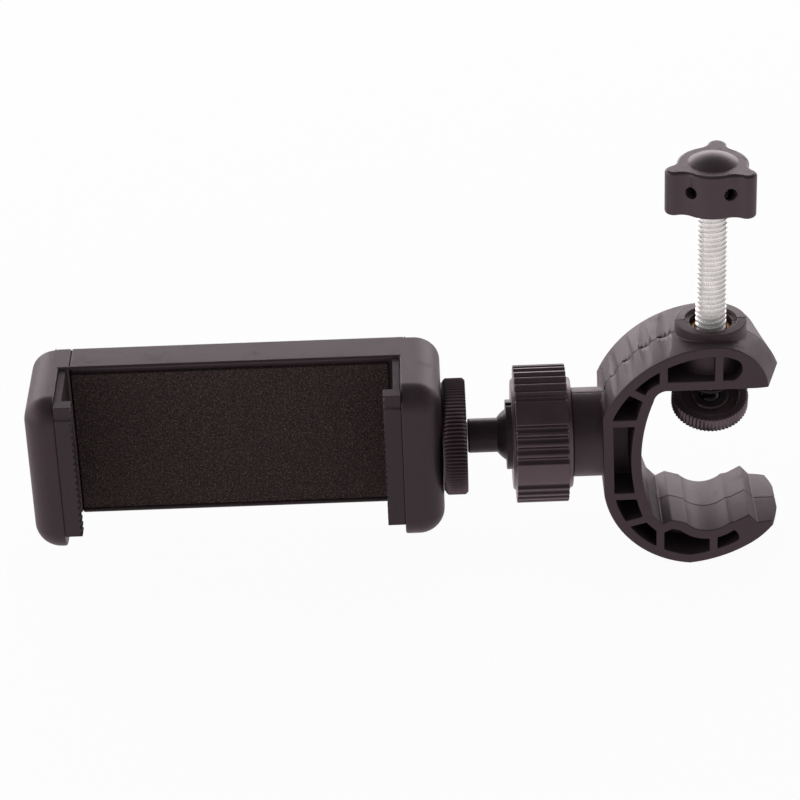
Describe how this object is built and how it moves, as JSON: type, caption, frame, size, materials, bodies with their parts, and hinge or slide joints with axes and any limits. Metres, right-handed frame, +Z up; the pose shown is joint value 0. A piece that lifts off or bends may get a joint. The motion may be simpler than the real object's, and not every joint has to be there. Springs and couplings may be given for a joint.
{
  "type": "phone clip mount",
  "caption": "Sprung phone clip on a lockable ball head, carried by a C-clamp with a ridged cradle, a tilting pressure pad and a three-lobe thumbscrew.",
  "frame": {"origin": "centre of the clamp throat, where the clamp screw axis crosses the ball stud axis", "axes": "+X from the phone clip towards the open side of the clamp; +Y towards the back, along a clamped bar; +Z up along the clamp screw to its knob"},
  "size_m": [0.1427, 0.0264, 0.083],
  "materials": {
    "clamp_plastic": "fine-grained moulded black plastic",
    "clip_plastic": "smooth satin moulded black plastic",
    "knob_plastic": "fine-grained moulded black plastic",
    "stud_plastic": "smooth moulded black plastic",
    "jaw_rubber": "moulded toothed rubber",
    "foam": "speckled dark foam",
    "brass": "turned",
    "zinc_steel": "bright zinc plated",
    "spring_steel": "drawn wire"
  },
  "bodies": {
    "clamp": {"clamp_body": "clamp_plastic", "clamp_insert": "brass", "ball_seat": "stud_plastic"},
    "collar": {"lock_collar": "clamp_plastic"},
    "grip": {"grip_ring": "stud_plastic"},
    "ball": {"ball_stud": "stud_plastic", "threaded_stud": "zinc_steel"},
    "disc": {"lock_disc": "clamp_plastic"},
    "clip": {"clip_frame": "clip_plastic", "stud_insert": "brass", "clip_back_cover": "clip_plastic", "cover_screws": "zinc_steel", "back_pad": "foam", "fixed_jaw_pad": "jaw_rubber", "frame_spring_pins": "zinc_steel", "jaw_spring_upper": "spring_steel", "jaw_spring_lower": "spring_steel"},
    "jaw": {"sliding_jaw": "clip_plastic", "sliding_jaw_pad": "jaw_rubber", "jaw_spring_pins": "zinc_steel"},
    "carriage": {"tip_washer": "stud_plastic"},
    "screw": {"clamp_screw": "zinc_steel", "knob": "knob_plastic"},
    "pad": {"pressure_pad": "clamp_plastic", "pad_retainer": "stud_plastic"}
  },
  "joints": [
    {"name": "collar_turn", "type": "hinge", "parent": "clamp", "child": "collar", "pos_m": [-0.032, 0, 0], "axis": [1, 0, 0], "range_deg": [-270, 0]},
    {"name": "grip_turn", "type": "hinge", "parent": "clamp", "child": "grip", "pos_m": [-0.036, 0, 0], "axis": [1, 0, 0], "continuous": true},
    {"name": "ball_tilt", "type": "hinge", "parent": "grip", "child": "ball", "pos_m": [-0.036, 0, 0], "axis": [0, 1, 0], "range_deg": [-20, 20]},
    {"name": "disc_turn", "type": "hinge", "parent": "ball", "child": "disc", "pos_m": [-0.0487, 0, 0], "axis": [1, 0, 0], "continuous": true},
    {"name": "clip_turn", "type": "hinge", "parent": "ball", "child": "clip", "pos_m": [-0.0544, 0, 0], "axis": [1, 0, 0], "continuous": true},
    {"name": "jaw_slide", "type": "slide", "parent": "clip", "child": "jaw", "axis": [-1, 0, 0], "range_m": [0, 0.028], "stiffness_N_per_m": 300, "springref_m": -0.013, "deforming": ["jaw_spring_upper", "jaw_spring_lower"]},
    {"name": "screw_travel", "type": "slide", "parent": "clamp", "child": "carriage", "axis": [0, 0, 1], "range_m": [-0.016, 0.003]},
    {"name": "screw_spin", "type": "hinge", "parent": "carriage", "child": "screw", "pos_m": [0, 0, 0.03], "axis": [0, 0, 1], "range_deg": [-5800, 1120]},
    {"name": "pad_swivel", "type": "hinge", "parent": "carriage", "child": "pad", "pos_m": [0, 0, 0.0061], "axis": [1, 0, 0], "range_deg": [-36, 0]}
  ],
  "couplings": [
    {"joint": "screw_spin", "follows": "screw_travel", "rad_per_m": 6283.2}
  ]
}
